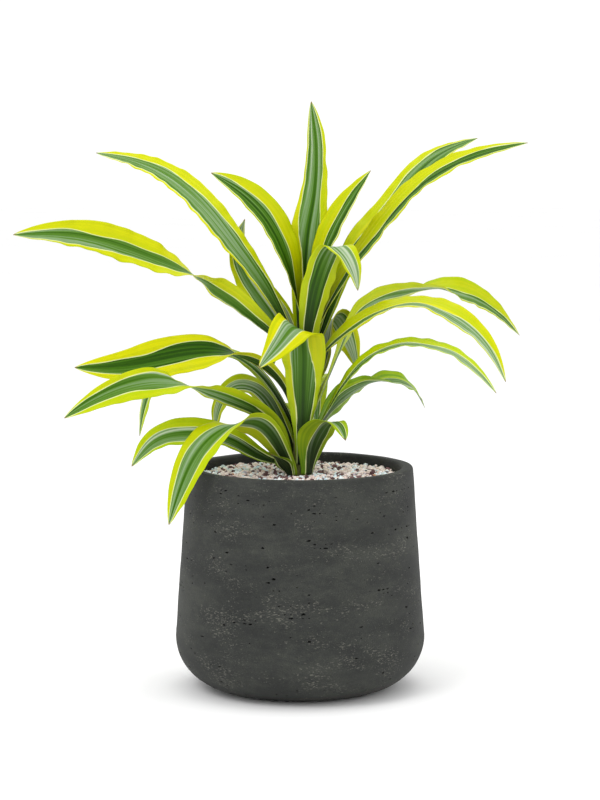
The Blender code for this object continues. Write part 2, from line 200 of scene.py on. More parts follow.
UPPER_LEAVES = [
    Leaf("leaf_upper_left_back", 81, (120, 140, 146),
         ((17, 108), (35, 140), (56, 165), (74, 190), (79, 208), (70, 233)),
         (0, -20, -30, -30, 0), 32, (18, 23, 21, 18), (8, 10, 10, 13), 0.2, 1.15, widest=0.42, base=0.36,
         slope=0.25),
    Leaf("leaf_upper_left_twist", 89, (186, 190, 198, 202),
         ((14, 113), (33, 135), (63, 161), (107, 186), (166, 211), (222, 225), (277, 225)),
         (0, 42, 52, -32, -65, -68, -62), 32, (30, 40, 45, 26, 22, 10, 8), (4, 4, 8, 34, 40, 38, 28),
         0.1, 0.65, widest=0.62, base=0.36, ripple=1.5),
    Leaf("leaf_upper_right_first", 92, (32, 36, 42, 44),
         ((14, 118), (33, 166), (59, 211), (98, 241), (148, 281), (226, 306)),
         (0, 20, 30, 38, 30, 25), 25, (34, 39, 41, 28, 23, 16), (18, 16, 12, 9, 9, 9), 0.25, 0.4,
         widest=0.55),
    Leaf("leaf_upper_front_fold", 98, (290, 290, 297, 308, 318),
         ((12, 120), (17, 145), (25, 173), (34, 198), (44, 211), (55, 204), (63, 172)),
         (0, 5, 5, 5, 0, 0), 35, (30, 32, 28, 20, 20), (20, 22, 20, 15, 18), 0.25,
         (-0.3, -0.4, -0.2, 1.0, 1.3), widest=0.62, base=0.36, blunt=1.6, ripple=1.4),
    Leaf("leaf_upper_back", 99, (108, 88, 86),
         ((14, 130), (27, 165), (50, 198), (88, 222), (138, 222), (190, 196)),
         (0, 0, 0, 0), 27, (26, 31, 26), (19, 24, 22), 0.3, 0.4, base=0.36, slope=0.2),
    Leaf("leaf_upper_left_long", 106, (168, 160, 149, 144),
         ((15, 130), (38, 170), (68, 207), (106, 244), (166, 277), (254, 292)),
         (0, -25, -38, -38, -38, -40), 27, (12, 14, 10, 10, 12, 10), (8, 12, 24, 32, 34, 30), 0.1, 0.8,
         ripple=1.3),
    Leaf("leaf_upper_right_second", 108, (-6, 2, -6, -10),
         ((12, 132), (30, 175), (58, 217), (96, 263), (144, 291), (198, 304)),
         (0, 25, 32, 35, 38, 40), 26, (32, 48, 58, 60, 34, 22), (6, 6, 8, 10, 16, 14), 0.15, 0.3,
         widest=0.55),
]

CROWN_LEAVES = [
    Leaf("leaf_crown_right_back", 114, (84, 62), ((14, 145), (22, 175), (32, 203), (46, 226), (62, 243)),
         (0, 0, 0, 0), 22, (21, 23, 21), (18, 18, 18), 0.4, 0.5, widest=0.45, base=0.36),
    Leaf("leaf_crown_left_arch", 120, (226, 200, 196),
         ((9, 155), (18, 201), (36, 237), (60, 260), (92, 277)),
         (0, -45, -62, -65, -55), 31, (7, 6, 6, 7, 11), (34, 38, 43, 40, 29), 0.2, (0, 0, 0.2, 0.4),
         base=0.36, blunt=2.6, ripple=0.7),
    Leaf("leaf_crown_right", 126, (330, 340, 340), ((8, 160), (14, 202), (30, 240), (59, 279)),
         (0, 35, 50, 58, 50), 30, (37, 44, 46, 39), (7, 6, 6, 7), 0.15, 0, base=0.36,
         ripple=0.7),
    Leaf("leaf_crown_centre", 134, (96, 96, 86, 64, 66, 90),
         ((8, 165), (10, 206), (14, 260), (17, 310), (18, 341)),
         (0, 0, -10, -15, 0), 33, (52, 47, 26, 10, 8, 13), (8, 10, 18, 26, 18, 21), 0.2, 0.5, widest=0.42,
         base=0.36, ripple=0.8),
]

LEAVES = BASAL_LEAVES + LOWER_LEAVES + MIDDLE_LEAVES + UPPER_LEAVES + CROWN_LEAVES


def linear(colour):
    """Linear RGBA of an sRGB hex colour."""
    value = np.array([int(colour[i:i + 2], 16) for i in (1, 3, 5)]) / 255
    value = np.where(value <= 0.04045, value / 12.92, ((value + 0.055) / 1.055) ** 2.4)
    return (*value.tolist(), 1)


def add(tree, kind, sources=None, ramp=None, **settings):
    """Add a node. Sources gives each input, by name or number, a value, a hex colour or a link."""
    made = tree.nodes.new("ShaderNode" + kind)
    for name, value in settings.items():
        setattr(made, name, value)
    for socket, source in (sources or {}).items():
        if isinstance(source, bpy.types.NodeSocket):
            tree.links.new(source, made.inputs[socket])
        else:
            made.inputs[socket].default_value = linear(source) if isinstance(source, str) else source
    for number, (position, colour) in enumerate(ramp or ()):
        stops = made.color_ramp.elements
        stop = stops[number] if number < 2 else stops.new(position)
        stop.position, stop.color = position, linear(colour)
    return made


def new_material(name):
    """Material with a Principled shader; gives the material, its tree and the shader."""
    material = bpy.data.materials.new(name)
    material.use_nodes = True
    tree = material.node_tree
    return material, tree, tree.nodes["Principled BSDF"]


def per_size(tree, vector, size):
    """Coordinates that count in cells of a size given in mm along X, Y and Z."""
    return add(tree, "Mapping", {"Vector": vector, "Scale": [1 / (s * MM) for s in size]}).outputs[0]


def skin(number):
    """Quads between the rows of a grid of point numbers, each row a closed ring."""
    after = np.roll(number, -1, axis=1)
    return np.stack([number[:-1], number[1:], after[1:], after[:-1]], -1)


def fan(point, ring):
    """Triangles from one point to the sides of a closed ring of points."""
    return np.stack([np.full(len(ring), point), ring, np.roll(ring, -1)], -1)


def mesh_of(name, points, quads, triangles=()):
    """Mesh from whole arrays of points, quads and triangles."""
    quads = np.asarray(quads, np.int32).reshape(-1, 4)
    triangles = np.asarray(triangles, np.int32).reshape(-1, 3)
    corners = np.concatenate([quads.ravel(), triangles.ravel()])
    starts = np.concatenate([np.arange(len(quads)) * 4, len(quads) * 4 + np.arange(len(triangles)) * 3])
    mesh = bpy.data.meshes.new(name)
    mesh.vertices.add(len(points))
    mesh.vertices.foreach_set("co", np.asarray(points, np.float32).ravel())
    mesh.loops.add(len(corners))
    mesh.loops.foreach_set("vertex_index", corners)
    mesh.polygons.add(len(starts))
    mesh.polygons.foreach_set("loop_start", starts.astype(np.int32))
    mesh.update(calc_edges=True)
    return mesh


def give(mesh, name, values):
    """Store one number or one vector for each point of a mesh."""
    values = np.asarray(values, np.float32)
    kind, field = ("FLOAT_VECTOR", "vector") if values.ndim == 2 else ("FLOAT", "value")
    mesh.attributes.new(name, kind, "POINT").data.foreach_set(field, values.ravel())


def place(name, mesh, material, slot, *nodes):
    """Link a smooth piece that rides with the plant and stands for the CAD nodes given, if any."""
    piece = bpy.data.objects.new(name, mesh)
    mesh.materials.append(material)
    mesh.shade_smooth()
    bpy.context.scene.collection.objects.link(piece)
    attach(piece, "root")
    if nodes:
        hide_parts(*nodes)
    return piece


def smooth(share):
    """Ease from 0 to 1."""
    share = np.clip(share, 0, 1)
    return share * share * (3 - 2 * share)


def eased(stations, share):
    """Values given at even stations, joined by a Catmull-Rom curve."""
    values = np.asarray(stations, float)
    values = np.concatenate([[2 * values[0] - values[1]], values, [2 * values[-1] - values[-2]]])
    at = np.asarray(share) * (len(values) - 3)
    i = np.clip(at.astype(int), 0, len(values) - 4)
    f = at - i
    a, b, c, d = values[i], values[i + 1], values[i + 2], values[i + 3]
    return b + 0.5 * f * (c - a + f * (2 * a - 5 * b + 4 * c - d + f * (3 * (b - c) + d - a)))


def stations(value, share):
    """A leaf's value along its length: one number, or a tuple of numbers at even stations."""
    return eased(value if isinstance(value, tuple) else (value, value), share)[:, None]


def cubic(points, start, at):
    """Natural cubic through points, leaving the first along start, at shares of its chord length."""
    points = np.asarray(points, float)
    step = np.linalg.norm(np.diff(points, axis=0), axis=1)
    knots = np.concatenate([[0], np.cumsum(step)])
    last = len(points) - 1
    system = np.eye(last + 1)
    right = np.zeros_like(points)
    rise = np.diff(points, axis=0) / step[:, None]
    system[0, :2] = 2 * step[0], step[0]
    right[0] = 6 * (rise[0] - start)
    for i in range(1, last):
        system[i, i - 1:i + 2] = step[i - 1], 2 * (step[i - 1] + step[i]), step[i]
        right[i] = 6 * (rise[i] - rise[i - 1])
    bend = np.linalg.solve(system, right)
    x = at * knots[-1]
    i = np.clip(np.searchsorted(knots, x, side="right") - 1, 0, last - 1)
    dx, h = (x - knots[i])[:, None], step[i][:, None]
    line = points[i] + dx * ((points[i + 1] - points[i]) / h - h * (2 * bend[i] + bend[i + 1]) / 6)
    return line + dx ** 2 * bend[i] / 2 + dx ** 3 * (bend[i + 1] - bend[i]) / (6 * h)


def cane_radius(height):
    """Radius of the cane at a height above the granulate."""
    share = np.clip(height / CANE_HEIGHT, 0, 1)
    return CANE_FOOT_RADIUS + (CANE_TOP_RADIUS - CANE_FOOT_RADIUS) * share


def reach_and_height(leaf):
    """The midrib in its own upright plane, as a function of the share of its length, and its length."""
    insert = leaf.insert * MM
    foot = (cane_radius(insert) + LEAF_THICKNESS / 2 + 2 * GAP + leaf.out * MM, insert)
    points = [foot] + [(reach * MM, height * MM) for reach, height in leaf.path]
    start = np.array([leaf.slope, 1]) / np.hypot(leaf.slope, 1)
    fine = np.linspace(0, 1, 400)
    dense = cubic(points, start, fine)
    run = np.concatenate([[0], np.cumsum(np.linalg.norm(np.diff(dense, axis=0), axis=1))])
    return lambda share: cubic(points, start, np.interp(share * run[-1], run, fine)), run[-1]


def half_width(leaf, share):
    """Half the blade's width: it grows from the foot to its widest place and tapers to the tip."""
    grow = leaf.base + (1 - leaf.base) * smooth(share / leaf.widest)
    beyond = np.clip((share - leaf.widest) / (1 - leaf.widest), 0, 1)
    taper = (1 - beyond ** leaf.blunt) ** 0.82
    return (leaf.width * MM * grow * taper + TIP_WIDTH * (1 - 0.7 * share ** 8)) / 2


def waves(rng, along, lengths):
    """Sum of sines of the given wavelengths, with random phases, mostly within -1 to 1."""
    phases = rng.uniform(0, TAU, len(lengths))
    return sum(np.sin(TAU * along / w + p) for w, p in zip(lengths, phases)) / len(lengths) ** 0.7


def make_leaf(leaf, seed, material):
    """Leaf blade: a closed strip carried along the midrib.

    A row is an arc of a circle across the blade, once over the upper face and back over the lower
    one, thinner towards the margins. The face is pressed in along the midrib, pleated lengthwise by
    a cosine of the place across, and waved at its margins by sines of the place along.
    """
    rng = np.random.default_rng(seed)
    midrib, length = reach_and_height(leaf)
    share = np.linspace(0, 1, max(20, round(length / ROW_STEP)) + 1)
    reach, height = midrib(share).T
    turn = np.radians(eased(leaf.turn, share))
    centre = np.stack(
        [CANE_LEAN * height + reach * np.cos(turn), reach * np.sin(turn), GRANULATE_TOP + height], 1)
    along = np.gradient(centre, axis=0)
    along /= np.linalg.norm(along, axis=1)[:, None]
    level = np.stack([-np.sin(turn), np.cos(turn), np.zeros_like(turn)], 1)
    level -= (level * along).sum(1)[:, None] * along
    level /= np.linalg.norm(level, axis=1)[:, None]
    upper = np.cross(along, level)
    roll = np.radians(eased(leaf.roll, share))[:, None]
    across = np.cos(roll) * level + np.sin(roll) * upper
    upper = np.cos(roll) * upper - np.sin(roll) * level

    one_way = np.linspace(-1, 1, COLUMNS + 1)
    v = np.concatenate([one_way, one_way[::-1]])[None]
    face = np.repeat([1, -1], COLUMNS + 1)[None]
    distance = share[:, None] * length
    # The waves set in as the blade opens out, and calm down towards the tip.
    open_blade = smooth((share[:, None] - 0.12) / 0.3) * (1 - 0.6 * share[:, None] ** 6)
    gutter = np.radians(CUP + (WRAP - CUP) * (1 - smooth(share / WRAP_END)))[:, None]
    half = half_width(leaf, share)[:, None]
    low_wave, high_wave = (waves(rng, distance, (47 * MM, 29 * MM, 18 * MM)) for _ in range(2))
    low_edge, high_edge = (waves(rng, distance, (95 * MM, 52 * MM)) for _ in range(2))
    ripple = np.where(v < 0, low_wave, high_wave) * np.abs(v) ** 2.2 * leaf.ripple * MM
    spread = 1 + 0.03 * np.where(v < 0, low_edge, high_edge) * np.abs(v) * open_blade
    crease = -CREASE * np.exp(-(v / 0.09) ** 2) * (1 - share[:, None] ** 3)
    pleats = PLEAT * np.cos(TAU * PLEATS * v) * (1 - v ** 6) * (1 - share[:, None] ** 4)
    thick = LEAF_THICKNESS * (1 - 0.62 * np.abs(v) ** 3) * (1 - 0.5 * share[:, None] ** 6)
    angle = gutter * v
    radius = half / gutter
    lift = (ripple + pleats) * open_blade * np.minimum(1, half / (8 * MM)) + crease + face * thick / 2
    side = radius * np.sin(angle) * spread - np.sin(angle) * lift
    rise = radius * (1 - np.cos(angle)) + np.cos(angle) * lift
    points = centre[:, None] + side[..., None] * across[:, None] + rise[..., None] * upper[:, None]

    rows, ring = points.shape[:2]
    number = np.arange(rows * ring).reshape(rows, ring)
    ends = np.concatenate([fan(number.size, number[0]), fan(number.size + 1, number[-1, ::-1])])
    points = np.concatenate([points.reshape(-1, 3), points[[0, -1]].mean(1)])
    mesh = mesh_of(leaf.name + "_blade", points, skin(number), ends)

    # What the material reads: the place on the blade in mm, the leaf's tints (partly painted shade and sheen)
    # with 1 for the lower face, mm inside the green centre, mm to the tip, and how much painted shade falls
    # where the neighbours shut out the light.
    high_share = eased(leaf.left, share)[:, None] / 100 * (1 + 0.10 * high_edge)
    low_share = eased(leaf.right, share)[:, None] / 100 * (1 + 0.10 * low_edge)
    inside = np.minimum(v + 1 - 2 * low_share, 1 - 2 * high_share - v) * half / MM
    blade = np.stack(np.broadcast_arrays(v * leaf.width / 2, distance / MM, seed * PATTERN_STEP), -1)
    # Painted shade towards the foot: the margins turn greener and darker and the centre a deeper green.
    foot_shade = 1 - smooth(share / 0.42)[:, None]
    tone = stations(leaf.tone, share) + 0.4 * foot_shade
    core = stations(leaf.core, share) - 0.8 * foot_shade
    tint = np.stack(np.broadcast_arrays(tone, core, face < 0), -1)
    to_tip = (length - distance) / MM
    painted_shade = 1 - smooth(distance / SHADED_LENGTH)
    for name, values in (("blade", blade), ("tint", tint), ("inside", inside), ("to_tip", to_tip),
                         ("painted_shade", painted_shade)):
        flat = np.broadcast_to(values, (rows, ring, *values.shape[2:])).reshape(rows * ring, -1)
        flat = np.concatenate([flat, flat[[0, -1]]])
        give(mesh, name, flat if flat.shape[1] == 3 else flat[:, 0])
    return place(leaf.name + "_blade", mesh, material, "leaf", leaf.name)


def leaf_material():
    """Living leaf blade, waxy and satin: a green centre streaked lengthwise, a cream line, lime margins; with
    painted shade towards the foot and partly painted sheen in the greyish streaks.
    """
    material, tree, shader = new_material("leaf_blade_variegated")
    blade = add(tree, "Attribute", attribute_name="blade").outputs["Vector"]
    tint = add(tree, "SeparateXYZ", {0: add(tree, "Attribute", attribute_name="tint").outputs["Vector"]})
    inside = add(tree, "Attribute", attribute_name="inside").outputs["Fac"]
    to_tip = add(tree, "Attribute", attribute_name="to_tip").outputs["Fac"]
    # Bands about 4.2 mm wide and finer streaks of 1.7 mm, both drawn out along the blade.
    streaks = []
    for pitch, drawn_out, detail in ((4.2, 0.0030, 1.0), (1.7, 0.0045, 2.0)):
        scaled = add(tree, "Mapping", {"Vector": blade, "Scale": (1 / pitch, drawn_out, 1)})
        streaks.append(add(tree, "TexNoise", {"Vector": scaled.outputs[0], "Scale": 1.0, "Detail": detail,
                                              "Roughness": 0.55}).outputs["Fac"])
    bands, fine = streaks
    both = add(tree, "Math", {0: bands, 1: 0.62, 2: add(
        tree, "Math", {0: fine, 1: 0.38}, operation="MULTIPLY").outputs[0]}, operation="MULTIPLY_ADD")
    spread = add(tree, "MapRange", {0: both.outputs[0], 1: 0.32, 2: 0.68, 3: 0.0, 4: 1.0}).outputs[0]
    # Partly painted sheen: a high core tint and bright streaks reach the greyish, pale end of the centre's
    # ramp.
    cored = add(tree, "Math", {0: tint.outputs[1], 1: 0.5, 2: add(
        tree, "Math", {0: spread, 1: -0.25}).outputs[0]}, operation="MULTIPLY_ADD")
    centre = add(tree, "ValToRGB", {0: cored.outputs[0]}, ramp=(
        (0.0, "#224602"), (0.28, "#396408"), (0.52, "#527A26"), (0.78, "#7C986C"), (1.0, "#ACBB9C")))
    # Partly painted shade: a higher tone picks darker, greener margins from the lime ramp.
    toned = add(tree, "Math", {0: tint.outputs[0], 1: -0.75, 2: add(
        tree, "Math", {0: spread, 1: 0.4, 2: 0.62}, operation="MULTIPLY_ADD").outputs[0]},
        operation="MULTIPLY_ADD")
    lime = add(tree, "ValToRGB", {0: toned.outputs[0]}, ramp=(
        (0.0, "#6A9800"), (0.35, "#A6BC00"), (0.7, "#BABF00"), (1.0, "#D0CE00")))
    jitter = add(tree, "Math", {0: add(tree, "Math", {0: fine, 1: -0.5}).outputs[0], 1: 1.6, 2: inside},
                 operation="MULTIPLY_ADD").outputs[0]
    in_cream = add(tree, "MapRange", {0: jitter, 1: -0.75, 2: -0.35}, interpolation_type="SMOOTHSTEP")
    in_green = add(tree, "MapRange", {0: jitter, 1: -0.05, 2: 0.3}, interpolation_type="SMOOTHSTEP")
    # Painted shade: where the neighbours shut out the light, the green centre is darkened most and the
    # margins less.
    painted_shade = add(tree, "Attribute", attribute_name="painted_shade").outputs["Fac"]
    margin, centre = (add(tree, "VectorMath", {0: part.outputs[0], "Scale": add(
        tree, "MapRange", {0: painted_shade, 3: 1.0, 4: least}).outputs[0]}, operation="SCALE").outputs[0]
        for part, least in ((lime, 0.62), (centre, 0.12)))
    colour = add(tree, "Mix", {0: in_cream.outputs[0], 6: margin, 7: "#CFD696"}, data_type="RGBA")
    colour = add(tree, "Mix", {0: in_green.outputs[0], 6: colour.outputs[2], 7: centre}, data_type="RGBA")
    under = add(tree, "Math", {0: tint.outputs[2], 1: 0.04}, operation="MULTIPLY")
    colour = add(tree, "Mix", {0: under.outputs[0], 6: colour.outputs[2], 7: "#98AC80"}, data_type="RGBA")
    withered = add(tree, "MapRange", {0: add(tree, "Math", {0: fine, 1: -9.0, 2: to_tip},
                                             operation="MULTIPLY_ADD").outputs[0],
                                      1: -1.5, 2: -4.0}, interpolation_type="SMOOTHSTEP")
    colour = add(tree, "Mix", {0: withered.outputs[0], 6: colour.outputs[2], 7: "#7A5B2C"}, data_type="RGBA")
    tree.links.new(colour.outputs[2], shader.inputs["Base Color"])
    rough = add(tree, "MapRange", {0: fine, 1: 0.3, 2: 0.7, 3: 0.36, 4: 0.52})
    tree.links.new(rough.outputs[0], shader.inputs["Roughness"])
    bump = add(tree, "Bump", {"Height": fine, "Strength": 0.5, "Distance": 0.25 * MM})
    tree.links.new(bump.outputs[0], shader.inputs["Normal"])
    shader.inputs["IOR"].default_value = 1.45
    shader.inputs["Specular IOR Level"].default_value = 0.12
    shader.inputs["Subsurface Weight"].default_value = 0.1
    shader.inputs["Subsurface Radius"].default_value = (0.8, 1.0, 0.2)
    shader.inputs["Subsurface Scale"].default_value = 1 * MM
    return material


def arc(centre, radii, start, end, count):
    """Points of an elliptical arc in the (radius, height) plane, angles in degrees."""
    turns = np.radians(np.linspace(start, end, count))
    return np.stack([centre[0] + radii[0] * np.cos(turns), centre[1] + radii[1] * np.sin(turns)], 1)


def inner_radius(height):
    """Radius of the planter's inside at a height above the belly."""
    share = (height - BELLY_HEIGHT) / (POT_HEIGHT - RIM_ROUND - BELLY_HEIGHT)
    return BELLY_RADIUS + (RIM_RADIUS - BELLY_RADIUS) * share - WALL


def make_planter(material):
    """Planter: a profile turned about Z, with pits sunk into single cells of its outer wall.

    A pit is two rings of eight points and a middle point inside its cell, the outer ring at the wall's
    surface and the rest sunk in. Its radius is a random number for each of the eight directions.
    """
    rng = np.random.default_rng(PIT_SEED)
    rim = POT_HEIGHT - RIM_ROUND
    foot = (BELLY_RADIUS - BASE_RADIUS, BELLY_HEIGHT)
    inside = np.concatenate([
        [(0, FLOOR)], arc((BASE_RADIUS - WALL, BELLY_HEIGHT), (foot[0], BELLY_HEIGHT - FLOOR), -90, 0, 14),
        np.linspace((BELLY_RADIUS - WALL, BELLY_HEIGHT), (RIM_RADIUS - WALL, rim), 30)[1:-1],
        arc((RIM_RADIUS - WALL + RIM_ROUND, rim), (RIM_ROUND, RIM_ROUND), 180, 90, RIM_POINTS)])
    outside = np.concatenate([
        arc((RIM_RADIUS - RIM_ROUND, rim), (RIM_ROUND, RIM_ROUND), 90, 0, RIM_POINTS),
        np.linspace((RIM_RADIUS, rim), (BELLY_RADIUS, BELLY_HEIGHT), 46)[1:-1],
        arc((BASE_RADIUS, BELLY_HEIGHT), foot, 0, -90, 22), [(0, 0)]])
    profile = np.concatenate([inside, outside])

    def wall(row, column, depth):
        """Points at fractional rows and columns, sunk by depth along the wall's outward normal."""
        low = np.clip(np.floor(row).astype(int), 0, len(profile) - 2)
        part = (row - low)[..., None]
        here = profile[low] * (1 - part) + profile[low + 1] * part
        run = profile[low + 1] - profile[low]
        run = run / np.maximum(np.linalg.norm(run, axis=-1), 1e-9)[..., None]
        radius, height = here[..., 0] - run[..., 1] * depth, here[..., 1] + run[..., 0] * depth
        around = column * TAU / POT_COLUMNS
        return np.stack([radius * np.cos(around), radius * np.sin(around), height], -1)

    rows = len(profile)
    grid_row, grid_column = np.meshgrid(np.arange(1, rows - 1), np.arange(POT_COLUMNS), indexing="ij")
    around = grid_column * TAU / POT_COLUMNS
    height = profile[grid_row][..., 1]
    outer = grid_row >= len(inside)
    # Cast walls are never quite true: waves of up to about a quarter of a millimetre, none at the base.
    uneven = 0.1 * MM * (np.sin(3 * around + 40 * height) + np.sin(7 * around - 90 * height)
                         + 0.6 * np.sin(13 * around + 210 * height)) * outer * smooth(height / 0.01)
    # Just short of a whole row, so that a point takes the normal of the stretch before it.
    base = wall(grid_row - 1e-9, grid_column, uneven)

    first, last = len(inside) + RIM_POINTS + 1, rows + LOWEST_PIT_ROW
    cluster_row = rng.uniform(first, last, PIT_CLUSTERS)
    cluster_column = rng.uniform(0, POT_COLUMNS, PIT_CLUSTERS)
    pick = rng.integers(0, PIT_CLUSTERS, PIT_DRAWS)
    loose = rng.random(PIT_DRAWS) < LOOSE_PITS
    pit_row = np.where(loose, rng.uniform(first, last, PIT_DRAWS),
                       cluster_row[pick] + rng.normal(0, CLUSTER_ROWS, PIT_DRAWS))
    pit_column = np.where(loose, rng.uniform(0, POT_COLUMNS, PIT_DRAWS),
                          cluster_column[pick] + rng.normal(0, CLUSTER_COLUMNS, PIT_DRAWS))
    cells = np.stack([np.clip(pit_row, first, last), pit_column % POT_COLUMNS], 1).astype(int)
    cells = np.unique(cells, axis=0)
    count = len(cells)
    size = np.clip(rng.lognormal(-1.7, 0.6, count), 0.08, PIT_RADIUS)
    wide = rng.uniform(0.95, 1.5, count)
    eighth = (np.arange(PIT_POINTS) + 0.5) * TAU / PIT_POINTS
    ragged = rng.uniform(0.4, 1.25, (count, PIT_POINTS))
    reach = np.minimum(size[:, None] * ragged, PIT_RADIUS)
    over = np.minimum(reach * wide[:, None], PIT_HALF_WIDTH) * np.cos(eighth)
    down = reach / wide[:, None] * np.sin(eighth)
    depth = np.clip(size * PIT_DEPTH, 0.7 * MM, 2.6 * MM)[:, None]
    middle_row, middle_column = cells[:, :1] + 0.5, cells[:, 1:] + 0.5
    ring = wall(middle_row + down, middle_column + over, 0)
    sunk = wall(middle_row + 0.72 * down, middle_column + 0.72 * over, -depth)
    bottom = wall(middle_row, middle_column, -1.2 * depth)

    number = np.arange((rows - 2) * POT_COLUMNS).reshape(rows - 2, POT_COLUMNS)
    quads = skin(number)
    whole = np.ones(quads.shape[:2], bool)
    whole[cells[:, 0] - 1, cells[:, 1]] = False
    start = number.size
    ring_number = start + np.arange(count * PIT_POINTS).reshape(count, PIT_POINTS)
    sunk_number = ring_number + ring_number.size
    bottom_number = sunk_number[-1, -1] + 1 + np.arange(count)[:, None]
    # The corners are put in the order bottom right, bottom left, top left, top right. The points around a
    # pit start to the right, a little down, and go on down, left, up and right.
    corner = quads[cells[:, 0] - 1, cells[:, 1]][:, [2, 1, 0, 3]]
    a, b, c = ring_number[:, ::2], ring_number[:, 1::2], np.roll(ring_number[:, ::2], -1, axis=1)
    collar = np.stack([corner, a, b], -1).reshape(-1, 3)
    sides = np.stack([corner, b, c, np.roll(corner, -1, axis=1)], -1).reshape(-1, 4)
    next_ring, next_sunk = np.roll(ring_number, -1, axis=1), np.roll(sunk_number, -1, axis=1)
    walls = np.stack([next_ring, ring_number, sunk_number, next_sunk], -1).reshape(-1, 4)
    floors = np.stack(np.broadcast_arrays(next_sunk, sunk_number, bottom_number), -1).reshape(-1, 3)
    poles = start + count * (2 * PIT_POINTS + 1)
    ends = np.concatenate([fan(poles, number[0]), fan(poles + 1, number[-1, ::-1])])
    points = np.concatenate([
        base.reshape(-1, 3), ring.reshape(-1, 3), sunk.reshape(-1, 3), bottom.reshape(-1, 3),
        [(0, 0, FLOOR), (0, 0, 0)]])
    mesh = mesh_of("planter_shell", points, np.concatenate([quads[whole], sides, walls]),
                   np.concatenate([collar, floors, ends]))
    pitted = np.zeros(len(points))
    pitted[sunk_number[0, 0]:poles] = 1
    give(mesh, "pit", pitted)
    edges = np.zeros(len(mesh.edges) * 2, np.int32)
    mesh.edges.foreach_get("vertices", edges)
    brink = ((edges >= start) & (edges < sunk_number[0, 0])).reshape(-1, 2).all(1)
    mesh.attributes.new("sharp_edge", "BOOLEAN", "EDGE").data.foreach_set("value", brink)
    return place("planter_shell", mesh, material, "planter", "planter")


def cement_material():
    """Charcoal fibre cement, cast and rubbed down: matt, cloudy, with pale flecks of filler laid bare."""
    material, tree, shader = new_material("fibre_cement_charcoal")
    here = add(tree, "TexCoord").outputs["Object"]
    layers = []
    # Clouds 70 mm wide and 25 mm high, mottling of 9 mm by 5 mm, sand of 0.8 mm.
    for size, detail, rough in (((70, 70, 25), 3.0, 0.5), ((9, 9, 5), 4.0, 0.6), ((0.8, 0.8, 0.8), 2.0, 0.6)):
        layers.append(add(tree, "TexNoise", {"Vector": per_size(tree, here, size), "Scale": 1.0,
                                             "Detail": detail, "Roughness": rough}).outputs["Fac"])
    clouds, mottle, sand = layers
    tone = add(tree, "Math", {0: clouds, 1: 0.55, 2: add(
        tree, "Math", {0: mottle, 1: 0.45}, operation="MULTIPLY").outputs[0]}, operation="MULTIPLY_ADD")
    colour = add(tree, "ValToRGB", {0: tone.outputs[0]}, ramp=(
        (0.36, "#191B19"), (0.48, "#262825"), (0.61, "#343631")))
    grit = add(tree, "MapRange", {0: sand, 1: 0.35, 2: 0.65, 3: 0.74, 4: 1.26})
    colour = add(tree, "VectorMath", {0: colour.outputs[0], "Scale": grit.outputs[0]}, operation="SCALE")
    # Scuffs 2.8 mm long and 1.2 mm high, in patches 45 mm wide.
    flecks = add(tree, "TexNoise", {"Vector": per_size(tree, here, (2.8, 2.8, 1.2)), "Scale": 1.0,
                                    "Detail": 4.0, "Roughness": 0.65, "Distortion": 0.5}).outputs["Fac"]
    patches = add(tree, "TexNoise", {"Vector": per_size(tree, here, (45, 45, 22)), "Scale": 1.0,
                                     "Detail": 2.0}).outputs["Fac"]
    sparse = add(tree, "MapRange", {0: patches, 1: 0.42, 2: 0.68, 3: -0.06, 4: 0.06})
    bare = add(tree, "MapRange", {0: add(tree, "Math", {0: flecks, 1: sparse.outputs[0]}).outputs[0],
                                  1: 0.59, 2: 0.69, 3: 0.0, 4: 0.65})
    colour = add(tree, "Mix", {0: bare.outputs[0], 6: colour.outputs[0], 7: "#6C6B62"}, data_type="RGBA")
    # Painted shade: the inside of each pit is darkened towards black.
    pit = add(tree, "Attribute", attribute_name="pit").outputs["Fac"]
    painted_pit_shade = add(tree, "MapRange", {0: pit, 1: 0.2, 2: 0.9, 3: 0.0, 4: 0.85})
    colour = add(tree, "Mix", {0: painted_pit_shade.outputs[0], 6: colour.outputs[2], 7: "#070807"}, data_type="RGBA")
    tree.links.new(colour.outputs[2], shader.inputs["Base Color"])
    rough = add(tree, "MapRange", {0: mottle, 1: 0.3, 2: 0.7, 3: 0.78, 4: 0.92})
    tree.links.new(rough.outputs[0], shader.inputs["Roughness"])
    bump = add(tree, "Bump", {"Height": sand, "Strength": 0.35, "Distance": 0.25 * MM})
    bump = add(tree, "Bump", {"Height": bare.outputs[0], "Strength": 0.5, "Distance": 0.2 * MM,
                              "Normal": bump.outputs[0]})
    tree.links.new(bump.outputs[0], shader.inputs["Normal"])
    shader.inputs["IOR"].default_value = 1.5
    return material


def mineral_material(name, colours, rough, pores):
    """Loose mineral grain: each grain has its own shade of the stone and fine pores of the given mm."""
    material, tree, shader = new_material(name)
    own = add(tree, "Attribute", attribute_name="grain").outputs["Fac"]
    stops = [(i / (len(colours) - 1), colour) for i, colour in enumerate(colours)]
    colour = add(tree, "ValToRGB", {0: own}, ramp=stops)
    here = add(tree, "TexCoord").outputs["Object"]
    pore = add(tree, "TexNoise", {"Vector": here, "Scale": 1 / (pores * MM), "Detail": 3.0,
                                  "Roughness": 0.6}).outputs["Fac"]
    shade = add(tree, "MapRange", {0: pore, 1: 0.3, 2: 0.6, 3: 0.84, 4: 1.06})
    colour = add(tree, "VectorMath", {0: colour.outputs[0], "Scale": shade.outputs[0]}, operation="SCALE")
    tree.links.new(colour.outputs[0], shader.inputs["Base Color"])
    bump = add(tree, "Bump", {"Height": pore, "Strength": 0.6, "Distance": 0.25 * MM})
    tree.links.new(bump.outputs[0], shader.inputs["Normal"])
    shader.inputs["Roughness"].default_value = rough
    shader.inputs["IOR"].default_value = 1.52
    return material


